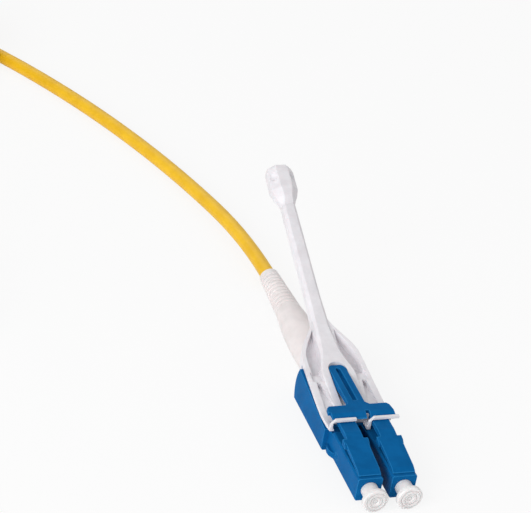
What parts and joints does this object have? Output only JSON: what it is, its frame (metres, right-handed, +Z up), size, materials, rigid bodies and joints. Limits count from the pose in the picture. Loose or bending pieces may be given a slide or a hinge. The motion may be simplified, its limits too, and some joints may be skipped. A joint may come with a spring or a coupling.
{
  "type": "duplex fibre patch connector",
  "caption": "Duplex LC fibre connector with dust caps, push-pull tab and strain-relief boot, on a round yellow patch cord laid in a coil to its far connector.",
  "frame": {"origin": "midway between the two ferrule axes, in the plane of the plugs' front faces, 2.8 mm above the surface it lies on", "axes": "+X across the two plugs, -Y the way it plugs in, +Z up from the surface it lies on"},
  "size_m": [0.0867, 0.1938, 0.026],
  "materials": {
    "plug_blue": "satin moulded",
    "latch_blue": "satin moulded",
    "post_blue": "satin moulded",
    "housing_blue": "satin moulded",
    "cover_blue": "satin moulded",
    "trigger_blue": "satin moulded",
    "cap_white": "soft translucent",
    "tab_white": "satin moulded",
    "boot_white": "soft moulded",
    "zirconia": "polished",
    "holder_metal": "nickel plated",
    "spring_steel": "drawn wire",
    "buffer_white": "extruded",
    "crimp_metal": "nickel plated",
    "jacket_yellow": "extruded jacket"
  },
  "bodies": {
    "housing": {"housing_base": "housing_blue", "housing_cover": "cover_blue", "plug_a": "plug_blue", "plug_b": "plug_blue", "back_post_a": "post_blue", "back_post_b": "post_blue", "spring_a": "spring_steel", "spring_b": "spring_steel", "crimp_post": "crimp_metal", "crimp_ring": "crimp_metal", "boot": "boot_white", "cable": "jacket_yellow", "cable_coil": "jacket_yellow", "cable_far": "jacket_yellow", "far_housing_base": "housing_blue", "far_housing_cover": "cover_blue", "far_plug_a": "plug_blue", "far_plug_b": "plug_blue", "far_boot": "boot_white"},
    "pull_tab": {"pull_tab": "tab_white"},
    "trigger": {"trigger": "trigger_blue"},
    "latch_a": {"latch_a": "latch_blue"},
    "dust_cap_a": {"dust_cap_a": "cap_white"},
    "ferrule_a": {"ferrule_a": "zirconia", "ferrule_holder_a": "holder_metal", "fibre_a": "buffer_white"},
    "latch_b": {"latch_b": "latch_blue"},
    "dust_cap_b": {"dust_cap_b": "cap_white"},
    "ferrule_b": {"ferrule_b": "zirconia", "ferrule_holder_b": "holder_metal", "fibre_b": "buffer_white"},
    "far_pull_tab": {"far_pull_tab": "tab_white"},
    "far_trigger": {"far_trigger": "trigger_blue"},
    "far_latch_a": {"far_latch_a": "latch_blue"},
    "far_dust_cap_a": {"far_dust_cap_a": "cap_white"},
    "far_ferrule_a": {"far_ferrule_a": "zirconia", "far_ferrule_holder_a": "holder_metal"},
    "far_latch_b": {"far_latch_b": "latch_blue"},
    "far_dust_cap_b": {"far_dust_cap_b": "cap_white"},
    "far_ferrule_b": {"far_ferrule_b": "zirconia", "far_ferrule_holder_b": "holder_metal"}
  },
  "joints": [
    {"name": "tab_slide", "type": "slide", "parent": "housing", "child": "pull_tab", "axis": [0, 1, 0], "range_m": [0, 0.0015], "stiffness_N_per_m": 120},
    {"name": "trigger_pivot", "type": "hinge", "parent": "housing", "child": "trigger", "pos_m": [0, 0.0275, 0.0034], "axis": [1, 0, 0], "range_deg": [0, 4.5]},
    {"name": "latch_flex_a", "type": "hinge", "parent": "housing", "child": "latch_a", "pos_m": [-0.00313, 0.0016, 0.00245], "axis": [-1, 0, 0], "range_deg": [0, 5.1], "stiffness_Nm_per_rad": 0.008},
    {"name": "cap_pull_a", "type": "slide", "parent": "housing", "child": "dust_cap_a", "axis": [0, -1, 0], "range_m": [0, 0.004]},
    {"name": "ferrule_float_a", "type": "slide", "parent": "housing", "child": "ferrule_a", "axis": [0, 1, 0], "range_m": [0, 0.0007], "stiffness_N_per_m": 400, "springref_m": -0.0005, "deforming": ["spring_a"]},
    {"name": "latch_flex_b", "type": "hinge", "parent": "housing", "child": "latch_b", "pos_m": [0.00313, 0.0016, 0.00245], "axis": [-1, 0, 0], "range_deg": [0, 5.1], "stiffness_Nm_per_rad": 0.008},
    {"name": "cap_pull_b", "type": "slide", "parent": "housing", "child": "dust_cap_b", "axis": [0, -1, 0], "range_m": [0, 0.004]},
    {"name": "ferrule_float_b", "type": "slide", "parent": "housing", "child": "ferrule_b", "axis": [0, 1, 0], "range_m": [0, 0.0007], "stiffness_N_per_m": 400, "springref_m": -0.0005, "deforming": ["spring_b"]},
    {"name": "far_tab_slide", "type": "slide", "parent": "housing", "child": "far_pull_tab", "axis": [-0.1219, 0.9925, 0], "range_m": [0, 0.0015], "stiffness_N_per_m": 120},
    {"name": "far_trigger_pivot", "type": "hinge", "parent": "housing", "child": "far_trigger", "pos_m": [-0.07135, 0.0813, 0.0034], "axis": [0.9925, 0.1219, 0], "range_deg": [0, 4.5]},
    {"name": "far_latch_flex_a", "type": "hinge", "parent": "housing", "child": "far_latch_a", "pos_m": [-0.0713, 0.05521, 0.00245], "axis": [-0.9925, -0.1219, 0], "range_deg": [0, 5.1], "stiffness_Nm_per_rad": 0.008},
    {"name": "far_cap_pull_a", "type": "slide", "parent": "housing", "child": "far_dust_cap_a", "axis": [0.1219, -0.9925, 0], "range_m": [0, 0.004]},
    {"name": "far_ferrule_float_a", "type": "slide", "parent": "housing", "child": "far_ferrule_a", "axis": [-0.1219, 0.9925, 0], "range_m": [0, 0.0007], "stiffness_N_per_m": 400, "springref_m": -0.0005},
    {"name": "far_latch_flex_b", "type": "hinge", "parent": "housing", "child": "far_latch_b", "pos_m": [-0.06509, 0.05597, 0.00245], "axis": [-0.9925, -0.1219, 0], "range_deg": [0, 5.1], "stiffness_Nm_per_rad": 0.008},
    {"name": "far_cap_pull_b", "type": "slide", "parent": "housing", "child": "far_dust_cap_b", "axis": [0.1219, -0.9925, 0], "range_m": [0, 0.004]},
    {"name": "far_ferrule_float_b", "type": "slide", "parent": "housing", "child": "far_ferrule_b", "axis": [-0.1219, 0.9925, 0], "range_m": [0, 0.0007], "stiffness_N_per_m": 400, "springref_m": -0.0005}
  ],
  "couplings": [
    {"joint": "trigger_pivot", "follows": "tab_slide", "rad_per_m": 51.196},
    {"joint": "latch_flex_a", "follows": "tab_slide", "rad_per_m": 58.178},
    {"joint": "latch_flex_b", "follows": "tab_slide", "rad_per_m": 58.178},
    {"joint": "far_trigger_pivot", "follows": "far_tab_slide", "rad_per_m": 51.196},
    {"joint": "far_latch_flex_a", "follows": "far_tab_slide", "rad_per_m": 58.178},
    {"joint": "far_latch_flex_b", "follows": "far_tab_slide", "rad_per_m": 58.178}
  ]
}
